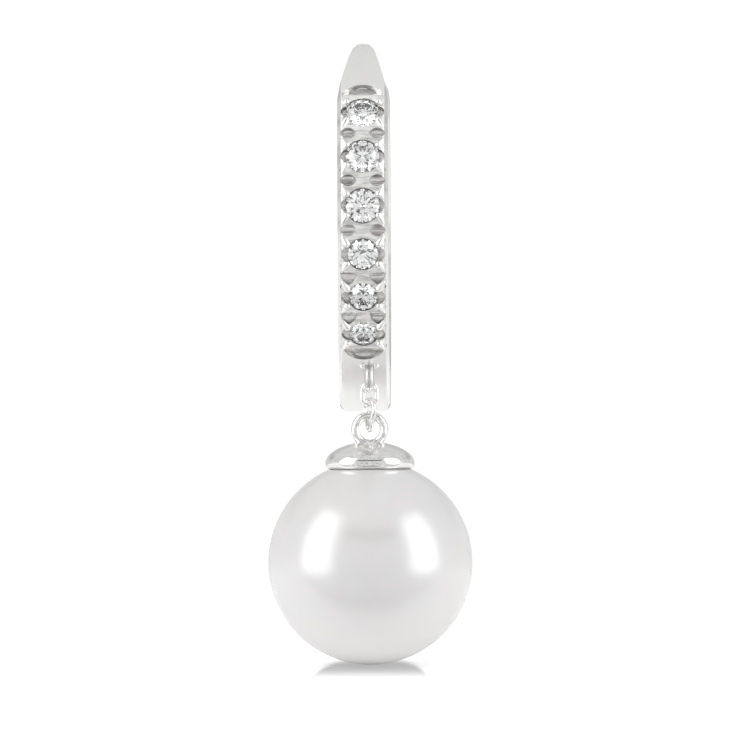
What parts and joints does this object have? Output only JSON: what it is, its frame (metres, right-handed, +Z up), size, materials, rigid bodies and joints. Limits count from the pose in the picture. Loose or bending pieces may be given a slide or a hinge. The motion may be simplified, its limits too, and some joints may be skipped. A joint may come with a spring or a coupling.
{
  "type": "huggie drop earring",
  "caption": "Hinged huggie hoop with a row of graduated round stones and a pearl that swings from two small links.",
  "frame": {"origin": "middle of the ear post, where the ear carries the earring", "axes": "+Z up, the jewelled front of the hoop faces -Y, +X to the right as seen from the front"},
  "size_m": [0.008, 0.0162, 0.0243],
  "materials": {
    "white_gold": "polished white gold",
    "clear_stone": "cut and polished clear stone",
    "pearl_nacre": "white nacre with a soft lustre"
  },
  "bodies": {
    "front_body": {"front_hoop": "white_gold", "hinge_pin": "white_gold", "stone_1": "clear_stone", "stone_2": "clear_stone", "stone_3": "clear_stone", "stone_4": "clear_stone", "stone_5": "clear_stone", "stone_6": "clear_stone"},
    "back_body": {"back_hoop": "white_gold"},
    "link_body": {"link_upper": "white_gold"},
    "drop_body": {"link_lower": "white_gold", "drop_cap": "white_gold", "pearl": "pearl_nacre"}
  },
  "joints": [
    {"name": "hoop_hinge", "type": "hinge", "parent": "front_body", "child": "back_body", "pos_m": [0, -0.00178, -0.01244], "axis": [-1, 0, 0], "range_deg": [0, 60]},
    {"name": "drop_side_swing", "type": "hinge", "parent": "front_body", "child": "link_body", "pos_m": [0.00021, -0.00669, -0.01239], "axis": [0, 1, 0], "range_deg": [-60, 60]},
    {"name": "drop_fore_swing", "type": "hinge", "parent": "link_body", "child": "drop_body", "pos_m": [0.00021, -0.00669, -0.01296], "axis": [0.8988, 0.4384, 0], "range_deg": [-50, 30]}
  ]
}
